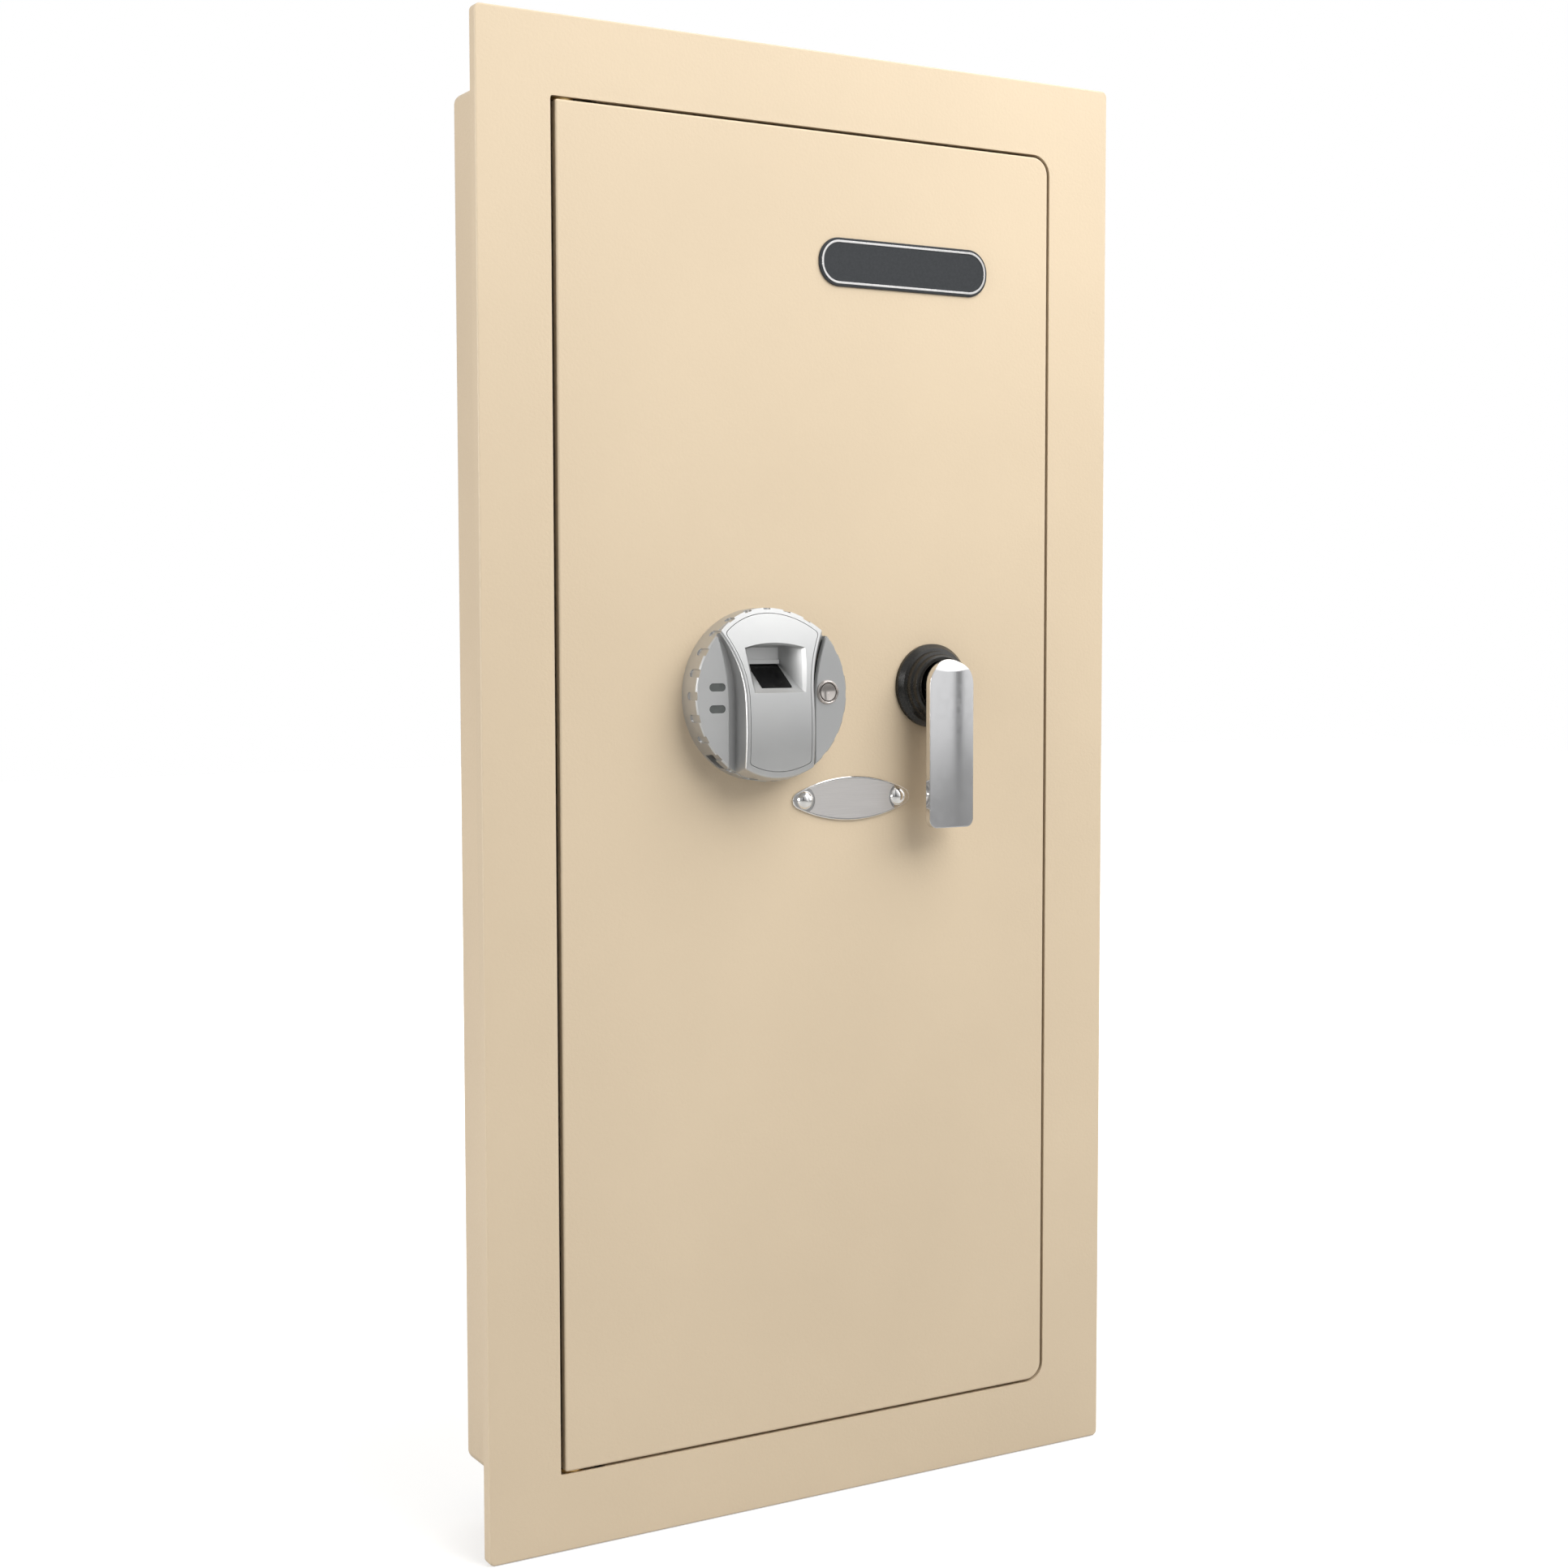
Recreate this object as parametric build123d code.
"""In-wall safe with a round fingerprint lock and a lever handle, built up from its separate pieces.

Millimetres. The origin is the centre of the wall surface that the flange closes on.
+X is to the right seen from the room, +Y goes into the wall, +Z is up.
The safe is at rest closed, with its bolts withdrawn and its lever hanging straight down.
"""
from build123d import *
import math
import os

# ---- Driving dimensions --------------------------------------------------------------------
# Flange, opening and body
FLANGE_WIDTH = 422.0
FLANGE_HEIGHT = 850.0
FLANGE_OVERHANG = 27.0  # from the body's side to the flange's edge
FLANGE_MARGIN = 43.7  # from the flange's edge to the door opening
FRAME_DEPTH = 7.0  # from the wall to the flange's front face
FLANGE_CORNER = 3.5
JAMB_DEPTH = 10.0  # folded return around the opening
OPENING_CORNER = 12.0  # on the lock side; the hinge side is square
OPENING_HINGE_CORNER = 1.5
BODY_DEPTH = 92.0  # behind the wall surface
BODY_BEND = 6.0
SHEET = 2.0

# Screw holes through the body's sides, for the wall studs
STUD_HOLE_R = 3.5
STUD_HOLE_DEPTH = 26.0  # behind the wall surface
STUD_HOLE_SPACING_Z = 560.0

# Shelves and floor mat
SHELF_COUNT = 3
SHELF_SHEET = 1.5
SHELF_LIP = 10.0
SHELF_CLEARANCE = 1.0
SHELF_DOOR_GAP = 6.0  # to the cover on the door's back
SUPPORT_LEG = 12.0
MAT_THICKNESS = 3.0

# Door
DOOR_THICKNESS = 5.0
DOOR_GAP = 1.5  # top, bottom and lock side
HINGE_GAP = 3.0  # hinge side
DOOR_EDGE_ROUND = 1.3
DOOR_HINGE_CORNER = 1.5

# Hinges: pins turning in bushes, above and below the door
PIN_INSET = 7.0  # pin axis from the door's hinge edge
PIN_DEPTH = 4.5  # pin axis behind the door's back face
PIN_R = 3.5
RUNNING_CLEARANCE = 0.05
LUG_HEIGHT = 22.0
BRACKET_SHEET = 4.0
BRACKET_GAP = 0.7  # bracket to the edge of the opening
BUSH_WALL = 2.5
BUSH_FLANGE = 1.2
THRUST_GAP = 0.3  # lug to bush, along the pin

# Bolt work
BOLT_COUNT = 3
BOLT_SPACING = 240.0
BOLT_R = 6.0
BOLT_TRAVEL = 16.0
BOLT_SETBACK = 9.0  # withdrawn bolt tip to the edge of the opening
BOLT_JAMB_CLEARANCE = 2.0
BAR_SHEET = 2.5
BAR_WIDTH = 24.0
BAR_STOP_GAP = 2.0  # thrown bar to the guide's foot
SPIGOT_STEP = 2.0  # bolt's radius less its spigot's
NUT_CORNER = 1.5  # spigot to the nut's corners
NUT_CLEARANCE = 0.24  # nut's flat to the bar's web
GUIDE_SHEET = 3.0
GUIDE_FOOT = 6.0
GUIDE_SETBACK = 8.0  # from the cover's lock edge
PLUNGER_R = 3.0
PLUNGER_PLAY = 0.4
SOLENOID_HALF_DEPTH = 6.5

# Cover over the mechanism on the door's back
COVER_CLEARANCE = 1.05  # behind the solenoid
COVER_SHEET = 1.2
COVER_INSET = 16.0  # from the door's lock edge
COVER_HINGE_INSET = 58.1  # from the door's hinge edge
COVER_OVERRUN = 38.0  # past the outer bolts
PILLAR_R = 4.5
PILLAR_INSET = 9.0  # from the cover's edges

# Lever handle, measured from its spindle
HANDLE_SETBACK = 85.3  # from the door's lock edge
HANDLE_Z = 59.0
SPINDLE_R = 6.0
ROSETTE_R = 25.0
ROSETTE_HEIGHT = 13.5
LEVER_WIDTH = 31.0
LEVER_LENGTH = 84.0  # spindle to tip
LEVER_TOP = 16.0  # spindle to the top end
LEVER_THICKNESS = 5.2
LEVER_FRONT = 24.0  # proud of the door
LEVER_CROWN_R = 130.0
NECK_R = 13.5
CRANK_PIN_R = 3.0
CRANK_SLOT_PLAY = 0.45  # each side of the crank pin

# Round fingerprint lock, measured from its centre and up from the door
DIAL_ASIDE = 13.4  # rim to the nameplate's middle, sideways
DIAL_ABOVE = 12.7  # rim to the nameplate's middle, upwards
DIAL_R = 49.7
DIAL_HEIGHT = 17.0
DIAL_WALL = 3.0
DIAL_FACE = 2.4
NOTCH_COUNT = 24
NOTCH_WIDTH = 4.6
NOTCH_DEPTH = 0.9
NOTCH_START = 7.0
BAND_HALF_WIDTH = 22.6
BAND_FLARE_R = 68.0
BAND_FLARE_V = -2.0
BAND_CROWN = 27.4
BAND_FOOT_LEAN = 3.3  # from the rim, at the front of the band's lower end
BAND_EDGE_ROUND = 1.5
BAND_CROWN_R = 150.0
BAND_CROWN_V = -20.0
GROOVE_HALF_WIDTH = 28.4
GROOVE_FLARE_R = 109.0
GROOVE_FLARE_V = -5.0
GROOVE_DEPTH = 3.6
RIDGE_ROUND = 0.8  # along the grooves' outer edges
PANEL_BORDER = 2.4
PANEL_SEAM = 0.3
PANEL_SHEET = 2.4
PANEL_TOP_MARGIN = 2.9  # from the rim
PANEL_FOOT_MARGIN = 6.1
PANEL_CORNER = 2.5
WELL_TOP = 30.0
WELL_SHOULDER = 27.0
WELL_BOTTOM = 1.2
WELL_TOP_HALF = 19.8
WELL_BOTTOM_HALF = 16.9
WELL_BEVEL = 1.4
WELL_FLOOR = 4.6
WELL_FLOOR_HALF = 10.6
WELL_RAMP_END = 17.4
WELL_LIP = 2.6
WELL_LIP_RISE = 1.4
WELL_WALL = 1.4
SENSOR_WIDTH = 20.0
SENSOR_LENGTH = 22.0
SENSOR_GLASS = 1.0
LENS_U = -35.9
LENS_V = (4.8, -7.5)
LENS_LENGTH = 10.4
LENS_WIDTH = 4.6
BUTTON_U = 36.5
BUTTON_V = 1.1
BEZEL_R = 7.2
BUTTON_R = 5.0
BUTTON_CLEARANCE = 0.3
JACK_ANGLE = 230.0
JACK_WIDTH = 12.0
JACK_HEIGHT = 6.6

# Nameplate that hides the key lock, and the badge
NAMEPLATE_SETBACK = 56.3  # from the handle's spindle
NAMEPLATE_Z = -6.8
NAMEPLATE_LENGTH = 83.0
NAMEPLATE_HEIGHT = 26.0
NAMEPLATE_SHEET = 1.5
NAMEPLATE_END_R = 5.0
NAMEPLATE_SCREW_SPACING = 64.4
DOME_R = 5.4
DOME_HEIGHT = 3.4
CYLINDER_R = 9.0
CYLINDER_REACH = 14.0  # behind the door
PLUG_R = 6.5
BADGE_SETBACK = 104.8  # from the door's lock edge
BADGE_DROP = 73.8  # from the door's top edge
BADGE_WIDTH = 118.0
BADGE_HEIGHT = 28.0
BADGE_SHEET = 1.2

# Battery box
CELL_R = 7.1
CELL_LENGTH = 50.0
CELL_COUNT = 4
BATTERY_SETBACK = 46.2  # from the cover's hinge side
BATTERY_Z = -92.0
BOX_WALL = 2.0
PROGRAM_BUTTON_R = 3.5

# ---- Derived places --------------------------------------------------------------------------
FRONT = -FRAME_DEPTH
OPENING_HALF_W = FLANGE_WIDTH / 2 - FLANGE_MARGIN
OPENING_HALF_H = FLANGE_HEIGHT / 2 - FLANGE_MARGIN
BODY_HALF_W = FLANGE_WIDTH / 2 - FLANGE_OVERHANG
BODY_HALF_H = FLANGE_HEIGHT / 2 - FLANGE_OVERHANG
JAMB_BACK = FRONT + JAMB_DEPTH
DOOR_BACK = FRONT + DOOR_THICKNESS
DOOR_LEFT = -OPENING_HALF_W + HINGE_GAP
DOOR_RIGHT = OPENING_HALF_W - DOOR_GAP
DOOR_HALF_H = OPENING_HALF_H - DOOR_GAP
PIN_X = DOOR_LEFT + PIN_INSET
PIN_Y = DOOR_BACK + PIN_DEPTH
BOLT_Y = JAMB_BACK + BOLT_JAMB_CLEARANCE + BOLT_R
BOLT_TIP = OPENING_HALF_W - BOLT_SETBACK
BOLT_ZS = [(i - (BOLT_COUNT - 1) / 2) * BOLT_SPACING for i in range(BOLT_COUNT)]
COVER_RIGHT = DOOR_RIGHT - COVER_INSET
COVER_LEFT = DOOR_LEFT + COVER_HINGE_INSET
COVER_HALF_H = BOLT_ZS[-1] + COVER_OVERRUN
SPIGOT_R = BOLT_R - SPIGOT_STEP
NUT_R = SPIGOT_R + NUT_CORNER
BAR_Y = BOLT_Y + NUT_R * math.cos(math.pi / 6) + NUT_CLEARANCE
BAR_MIDDLE = BAR_Y + BAR_SHEET / 2
COVER_BACK = BAR_MIDDLE + SOLENOID_HALF_DEPTH + COVER_CLEARANCE + COVER_SHEET
GUIDE_RIGHT = COVER_RIGHT - GUIDE_SETBACK
BAR_RIGHT = GUIDE_RIGHT - GUIDE_SHEET - GUIDE_FOOT - BAR_STOP_GAP - BOLT_TRAVEL
CRANK_R = BOLT_TRAVEL / math.sqrt(2)
CRANK_DROP = CRANK_R / math.sqrt(2)
SHELF_FRONT = COVER_BACK + SHELF_DOOR_GAP
HANDLE_X = DOOR_RIGHT - HANDLE_SETBACK
NAMEPLATE_X = HANDLE_X - NAMEPLATE_SETBACK
DIAL_X = NAMEPLATE_X - DIAL_ASIDE - DIAL_R
DIAL_Z = NAMEPLATE_Z + DIAL_ABOVE + DIAL_R
BADGE_X = DOOR_RIGHT - BADGE_SETBACK
BADGE_Z = DOOR_HALF_H - BADGE_DROP
BATTERY_X = COVER_LEFT + BATTERY_SETBACK
SHELF_ZS = [BODY_HALF_H * (2 * (i + 1) / (SHELF_COUNT + 1) - 1) for i in range(SHELF_COUNT)]


# ---- Shapes used by several pieces -------------------------------------------------------------
def block(x0, x1, y0, y1, z0, z1):
    """A box between two corners."""
    centre = Pos((x0 + x1) / 2, (y0 + y1) / 2, (z0 + z1) / 2)
    return centre * Box(abs(x1 - x0), abs(y1 - y0), abs(z1 - z0))


def rod_x(radius, x0, x1, y, z):
    """A cylinder along X."""
    return Pos((x0 + x1) / 2, y, z) * Rot(0, 90, 0) * Cylinder(radius, abs(x1 - x0))


def rod_y(radius, x, z, y0, y1):
    """A cylinder along Y."""
    return Pos(x, (y0 + y1) / 2, z) * Rot(90, 0, 0) * Cylinder(radius, abs(y1 - y0))


def rod_z(radius, x, y, z0, z1):
    """A cylinder along Z."""
    return Pos(x, y, (z0 + z1) / 2) * Cylinder(radius, abs(z1 - z0))


def facing(x, z, y=FRONT):
    """Places a piece drawn flat, with its Z standing out towards the room."""
    return Plane(origin=(x, y, z), x_dir=(1, 0, 0), z_dir=(0, -1, 0)).location


def slab(outline, low, high):
    """A flat outline made solid between two heights."""
    return Pos(0, 0, low) * extrude(outline, amount=high - low)


def tray_outline(x0, x1, z0, z1, left_radius, right_radius):
    """A rectangle with one corner radius on its left and another on its right."""
    outline = Pos((x0 + x1) / 2, (z0 + z1) / 2) * Rectangle(x1 - x0, z1 - z0)
    outline = fillet(outline.vertices().sort_by(Axis.X)[:2], left_radius)
    return fillet(outline.vertices().sort_by(Axis.X)[-2:], right_radius)


def front_edges(solid):
    """The edges of the face that looks into the room."""
    return solid.faces().sort_by(Axis.Y)[0].edges()


# ---- Body ------------------------------------------------------------------------------------
def body_shell():
    """Folded box, open at the front, with stud screw holes in its sides."""
    def box(inset, y0):
        half_w = BODY_HALF_W - inset
        half_h = BODY_HALF_H - inset
        back = BODY_DEPTH - inset
        solid = block(-half_w, half_w, y0, back, -half_h, half_h)
        corners = solid.edges().filter_by(Axis.Y)
        rear = solid.faces().sort_by(Axis.Y)[-1].edges()
        return fillet(corners + rear, BODY_BEND - inset)

    shell = box(0.0, FRONT + SHEET) - box(SHEET, FRONT)
    for z in (-STUD_HOLE_SPACING_Z / 2, STUD_HOLE_SPACING_Z / 2):
        shell -= rod_x(STUD_HOLE_R, -BODY_HALF_W - 5, BODY_HALF_W + 5, STUD_HOLE_DEPTH, z)
    return shell


def front_frame():
    """Folded flange: face, outer return to the wall, and jamb return on three sides."""
    half_w = FLANGE_WIDTH / 2
    half_h = FLANGE_HEIGHT / 2
    place = facing(0, 0)
    outer = place * slab(RectangleRounded(2 * half_w, 2 * half_h, FLANGE_CORNER), -FRAME_DEPTH, 0)
    outer = fillet(front_edges(outer), SHEET / 2)
    inner = Rectangle(2 * (half_w - SHEET), 2 * (half_h - SHEET))
    outer -= place * slab(inner, -FRAME_DEPTH, -SHEET)

    def opening(grow):
        return tray_outline(
            -OPENING_HALF_W - grow, OPENING_HALF_W + grow, -OPENING_HALF_H - grow, OPENING_HALF_H + grow,
            OPENING_HINGE_CORNER + grow, OPENING_CORNER + grow)

    jamb = place * slab(opening(SHEET), -JAMB_DEPTH, -SHEET / 2)
    hinge_side = PIN_X + PIN_INSET + BRACKET_SHEET * 3
    jamb -= block(-half_w, hinge_side, FRONT + SHEET, JAMB_BACK + 1, -half_h, half_h)
    frame = outer + jamb - place * slab(opening(0.0), -JAMB_DEPTH - 1, 1)
    return frame


def hinge_bracket(side):
    """Plate welded behind the flange, bored for the hinge bush."""
    near = side * (OPENING_HALF_H + BRACKET_GAP)
    far = near + side * BRACKET_SHEET
    left = -BODY_HALF_W + SHEET
    right = PIN_X + PIN_INSET + 6.0
    plate = block(left, right, FRONT + SHEET, PIN_Y + 11.0, near, far)
    return plate - rod_z(PIN_R + BUSH_WALL, PIN_X, PIN_Y, near - side, far + side)


def hinge_bush(side):
    """Flanged bush that the hinge pin turns in."""
    thrust = side * (DOOR_HALF_H + THRUST_GAP)
    near = side * (OPENING_HALF_H + BRACKET_GAP)
    far = near + side * BRACKET_SHEET
    bush = rod_z(PIN_R + BUSH_WALL, PIN_X, PIN_Y, near, far)
    bush += rod_z(PIN_R + BUSH_WALL + BUSH_FLANGE, PIN_X, PIN_Y, thrust, near)
    return bush - rod_z(PIN_R + RUNNING_CLEARANCE, PIN_X, PIN_Y, thrust - side, far + side)


def shelf(z):
    """Folded shelf with a lip down at its front and back."""
    half = BODY_HALF_W - SHEET - SHELF_CLEARANCE
    back = BODY_DEPTH - SHEET - BODY_BEND + 2.0
    top = block(-half, half, SHELF_FRONT, back, z - SHELF_SHEET, z)
    legs_in = SUPPORT_LEG + 2.0
    for y0, y1 in ((SHELF_FRONT, SHELF_FRONT + SHELF_SHEET), (back - SHELF_SHEET, back)):
        top += block(-half + legs_in, half - legs_in, y0, y1, z - SHELF_LIP, z)
    return top


def shelf_supports():
    """Angles welded to the body's sides, one under each shelf end."""
    angles = []
    back = BODY_DEPTH - SHEET - BODY_BEND
    for z in SHELF_ZS:
        for side in (-1, 1):
            wall = side * (BODY_HALF_W - SHEET)
            seat = z - SHELF_SHEET
            leg = block(wall, wall - side * SUPPORT_LEG, SHELF_FRONT + 2, back, seat - SHELF_SHEET, seat)
            upright = block(wall, wall - side * SHELF_SHEET, SHELF_FRONT + 2, back, seat - SUPPORT_LEG, seat)
            angles.append(leg + upright)
    return Compound(children=angles)


def floor_mat():
    """Loose felt mat on the floor of the body."""
    half = BODY_HALF_W - SHEET - BODY_BEND
    floor = -BODY_HALF_H + SHEET
    return block(-half, half, SHELF_FRONT - 24, BODY_DEPTH - SHEET - BODY_BEND, floor, floor + MAT_THICKNESS)


# ---- Door ------------------------------------------------------------------------------------
def standoff_places():
    """Centres of the pillars that the cover is screwed to."""
    columns = (COVER_LEFT + PILLAR_INSET, BAR_RIGHT - BAR_WIDTH - 12.0)
    rows = (-COVER_HALF_H + PILLAR_INSET, -BOLT_SPACING / 2, COVER_HALF_H - PILLAR_INSET)
    return [(x, z) for x in columns for z in rows]


def lock_screw_places():
    """Screws that hold the round lock, from behind the door."""
    return [(DIAL_X - 30.0, DIAL_Z + 14.0), (DIAL_X + 30.0, DIAL_Z - 14.0)]


def door_plate():
    """Flush steel plate, square on the hinge side and rounded on the lock side."""
    corner = OPENING_CORNER - DOOR_GAP
    outline = tray_outline(DOOR_LEFT, DOOR_RIGHT, -DOOR_HALF_H, DOOR_HALF_H, DOOR_HINGE_CORNER, corner)
    plate = facing(0, 0) * slab(outline, -DOOR_THICKNESS, 0)
    plate = fillet(front_edges(plate), DOOR_EDGE_ROUND)
    through = (FRONT - 1, DOOR_BACK + 1)
    plate -= rod_y(SPINDLE_R + 2.0, HANDLE_X, HANDLE_Z, *through)
    plate -= rod_y(CYLINDER_R, NAMEPLATE_X, NAMEPLATE_Z, *through)
    plate -= rod_y(8.0, DIAL_X, DIAL_Z - 20.0, *through)
    for x, z in lock_screw_places():
        plate -= rod_y(2.0, x, z, *through)
    for side in (-1, 1):
        plate -= rod_y(1.6, NAMEPLATE_X + side * NAMEPLATE_SCREW_SPACING / 2, NAMEPLATE_Z, *through)
    return plate


def hinge_lug(side):
    """Block welded behind the door's corner, bored for the hinge pin."""
    end = side * DOOR_HALF_H
    start = end - side * LUG_HEIGHT
    radius = PIN_R + BUSH_WALL
    lug = rod_z(radius, PIN_X, PIN_Y, start, end)
    lug += block(PIN_X - radius, PIN_X + radius, DOOR_BACK, PIN_Y, start, end)
    lug -= block(PIN_X - radius, PIN_X + radius, FRONT, DOOR_BACK, start, end)
    return lug - rod_z(PIN_R, PIN_X, PIN_Y, start - side, end + side)


def hinge_pin(side):
    """Steel pin pressed into the lug, with a rounded end."""
    start = side * (DOOR_HALF_H - LUG_HEIGHT)
    end = side * (OPENING_HALF_H + BRACKET_GAP + BRACKET_SHEET + 3.0)
    pin = rod_z(PIN_R, PIN_X, PIN_Y, start, end)
    tip = pin.faces().sort_by(Axis.Z)[-1 if side > 0 else 0]
    return chamfer(tip.edges(), 1.0)


def mechanism_cover():
    """Folded tray over the bolt work, with windows for bolts, battery lid and buttons."""
    cover = block(COVER_LEFT, COVER_RIGHT, DOOR_BACK, COVER_BACK, -COVER_HALF_H, COVER_HALF_H)
    cover = fillet(cover.edges().filter_by(Axis.Y), 4.0)
    cover = fillet(cover.faces().sort_by(Axis.Y)[-1].edges(), 2.5)
    inside = block(
        COVER_LEFT + COVER_SHEET, COVER_RIGHT - COVER_SHEET, DOOR_BACK - 1, COVER_BACK - COVER_SHEET,
        -COVER_HALF_H + COVER_SHEET, COVER_HALF_H - COVER_SHEET)
    cover -= fillet(inside.edges().filter_by(Axis.Y), 4.0 - COVER_SHEET)
    for z in BOLT_ZS:
        cover -= rod_x(BOLT_R + 0.8, COVER_RIGHT - 5, COVER_RIGHT + 5, BOLT_Y, z)
    back = (COVER_BACK - COVER_SHEET - 1, COVER_BACK + 1)
    window = battery_size()
    cover -= block(
        BATTERY_X - window[0] / 2 + BOX_WALL, BATTERY_X + window[0] / 2 - BOX_WALL, *back,
        BATTERY_Z - window[1] / 2 + BOX_WALL, BATTERY_Z + window[1] / 2 - BOX_WALL)
    cover -= rod_y(PROGRAM_BUTTON_R + BUTTON_CLEARANCE, BATTERY_X, program_button_z(), *back)
    for x, z in standoff_places():
        cover -= rod_y(2.2, x, z, *back)
    return cover


def cover_standoffs():
    """Hexagon pillars behind the door, tapped for the cover's screws."""
    pillars = []
    length = COVER_BACK - COVER_SHEET - DOOR_BACK
    for x, z in standoff_places():
        pillar = facing(x, z, COVER_BACK - COVER_SHEET) * slab(RegularPolygon(PILLAR_R, 6), 0, length)
        pillars.append(pillar - rod_y(1.7, x, z, COVER_BACK - 9, COVER_BACK))
    return Compound(children=pillars)


def cover_screws():
    """Pan-head screws with a crossed recess, through the cover into its pillars."""
    screws = []
    for x, z in standoff_places():
        head = rod_y(3.8, x, z, COVER_BACK, COVER_BACK + 2.2)
        head = fillet(head.faces().sort_by(Axis.Y)[-1].edges(), 1.2)
        screw = head + rod_y(1.7, x, z, COVER_BACK - 8, COVER_BACK)
        for half_x, half_z in ((2.2, 0.5), (0.5, 2.2)):
            screw -= block(x - half_x, x + half_x, COVER_BACK + 1, COVER_BACK + 3, z - half_z, z + half_z)
        screws.append(screw)
    return Compound(children=screws)


def bolt_guide():
    """Angle welded behind the door, bored as a slide for the bolts."""
    right = GUIDE_RIGHT
    left = right - GUIDE_SHEET
    half_h = BOLT_ZS[-1] + 16.0
    back = BOLT_Y + BOLT_R + 5.0
    guide = block(left, right, DOOR_BACK, back, -half_h, half_h)
    guide += block(left - GUIDE_FOOT, right, DOOR_BACK, DOOR_BACK + GUIDE_SHEET, -half_h, half_h)
    for z in BOLT_ZS:
        guide -= rod_x(BOLT_R + RUNNING_CLEARANCE, left - 7, right + 7, BOLT_Y, z)
    return guide


# ---- Bolt carriage ------------------------------------------------------------------------------
def plunger_x():
    """The solenoid's plunger stands under the first notch of the bolt bar."""
    return HANDLE_X - CRANK_DROP - 14.0


def tongue_bottom():
    """Lower edge of the bolt bar's tongue."""
    return HANDLE_Z - CRANK_R - CRANK_PIN_R - 9.0


def bolt_bar():
    """Angle bar that carries the bolts, with a slotted tongue for the crank pin."""
    half_h = BOLT_ZS[-1] + 12.0
    left = BAR_RIGHT - BAR_WIDTH
    web = (BAR_Y, BAR_Y + BAR_SHEET)
    bar = block(left, BAR_RIGHT, *web, -half_h, half_h)
    bar += block(BAR_RIGHT - BAR_SHEET, BAR_RIGHT, BOLT_Y - BOLT_R - 1.5, web[1], -half_h, half_h)
    low = tongue_bottom()
    bar += block(plunger_x() - BOLT_TRAVEL - 10.0, left + 1, *web, low, HANDLE_Z - 1.0)
    # Upright slot: the crank pin only rises and falls in it as it pushes the bar along.
    pin_x = HANDLE_X - CRANK_DROP
    reach = CRANK_PIN_R + CRANK_SLOT_PLAY
    slot_top = HANDLE_Z - CRANK_DROP + 1.0
    slot_low = HANDLE_Z - CRANK_R - 1.0
    ends = (web[0] - 1, web[1] + 1)
    bar -= block(pin_x - reach, pin_x + reach, *ends, slot_low, slot_top)
    bar -= rod_y(reach, pin_x, slot_top, *ends)
    bar -= rod_y(reach, pin_x, slot_low, *ends)
    # Two notches, one bolt travel apart, take the plunger in both states.
    notch = PLUNGER_R + 1.5 * PLUNGER_PLAY
    for x in (plunger_x(), plunger_x() - BOLT_TRAVEL):
        bar -= block(x - notch, x + notch, *ends, low - 1, low + 6.6)
    for z in BOLT_ZS:
        bar -= rod_x(SPIGOT_R, BAR_RIGHT - BAR_SHEET - 1, BAR_RIGHT + 1, BOLT_Y, z)
    return bar


def locking_bolts():
    """Round steel bolts, each with a spigot through the bar for its nut."""
    bolts = []
    for z in BOLT_ZS:
        bolt = rod_x(BOLT_R, BAR_RIGHT, BOLT_TIP, BOLT_Y, z)
        bolt = chamfer(bolt.faces().sort_by(Axis.X)[-1].edges(), 1.0)
        bolts.append(bolt + rod_x(SPIGOT_R, BAR_RIGHT - BAR_SHEET - 6, BAR_RIGHT, BOLT_Y, z))
    return Compound(children=bolts)


def bolt_nuts():
    """Hexagon nuts on the bolts' spigots."""
    nuts = []
    for z in BOLT_ZS:
        place = Pos(BAR_RIGHT - BAR_SHEET - 5.0, BOLT_Y, z) * Rot(0, 90, 0)
        nut = place * slab(RegularPolygon(NUT_R, 6) - Circle(SPIGOT_R), 0, 5.0)
        nuts.append(nut)
    return Compound(children=nuts)


# ---- Solenoid blocker ---------------------------------------------------------------------------
def solenoid_frame():
    """Steel frame and coil, screwed behind the door under the bolt bar's tongue."""
    x = plunger_x()
    top = tongue_bottom() - 3.0
    body = block(x - 10, x + 10, DOOR_BACK, BAR_MIDDLE + SOLENOID_HALF_DEPTH, top - 26, top)
    return body - rod_z(PLUNGER_R + PLUNGER_PLAY, x, BAR_MIDDLE, top - 24, top + 1)


def solenoid_plunger():
    """Round plunger that rises into the bolt bar's notch."""
    x = plunger_x()
    top = tongue_bottom() - 0.5
    return chamfer(rod_z(PLUNGER_R, x, BAR_MIDDLE, top - 20, top).edges(), 0.4)


# ---- Handle --------------------------------------------------------------------------------------
def rosette():
    """Stepped black escutcheon around the handle's neck."""
    low = 2.5
    rise = ROSETTE_HEIGHT - low
    points = [
        (SPINDLE_R + 2.5, 0), (ROSETTE_R, 0), (ROSETTE_R, low), (ROSETTE_R - 2.4, low + 0.28 * rise),
        (ROSETTE_R - 4.0, low + 0.34 * rise), (ROSETTE_R - 4.5, low + 0.62 * rise),
        (ROSETTE_R - 6.0, low + 0.68 * rise), (ROSETTE_R - 6.6, low + 0.92 * rise),
        (ROSETTE_R - 7.6, ROSETTE_HEIGHT), (NECK_R + 2.0, ROSETTE_HEIGHT),
        (NECK_R + 0.8, ROSETTE_HEIGHT - 2.5), (NECK_R + 0.8, 2.0), (SPINDLE_R + 2.5, 2.0)]
    profile = Plane.XZ * make_face(Polyline(*points, close=True))
    return facing(HANDLE_X, HANDLE_Z) * revolve(profile, Axis.Z)


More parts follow.
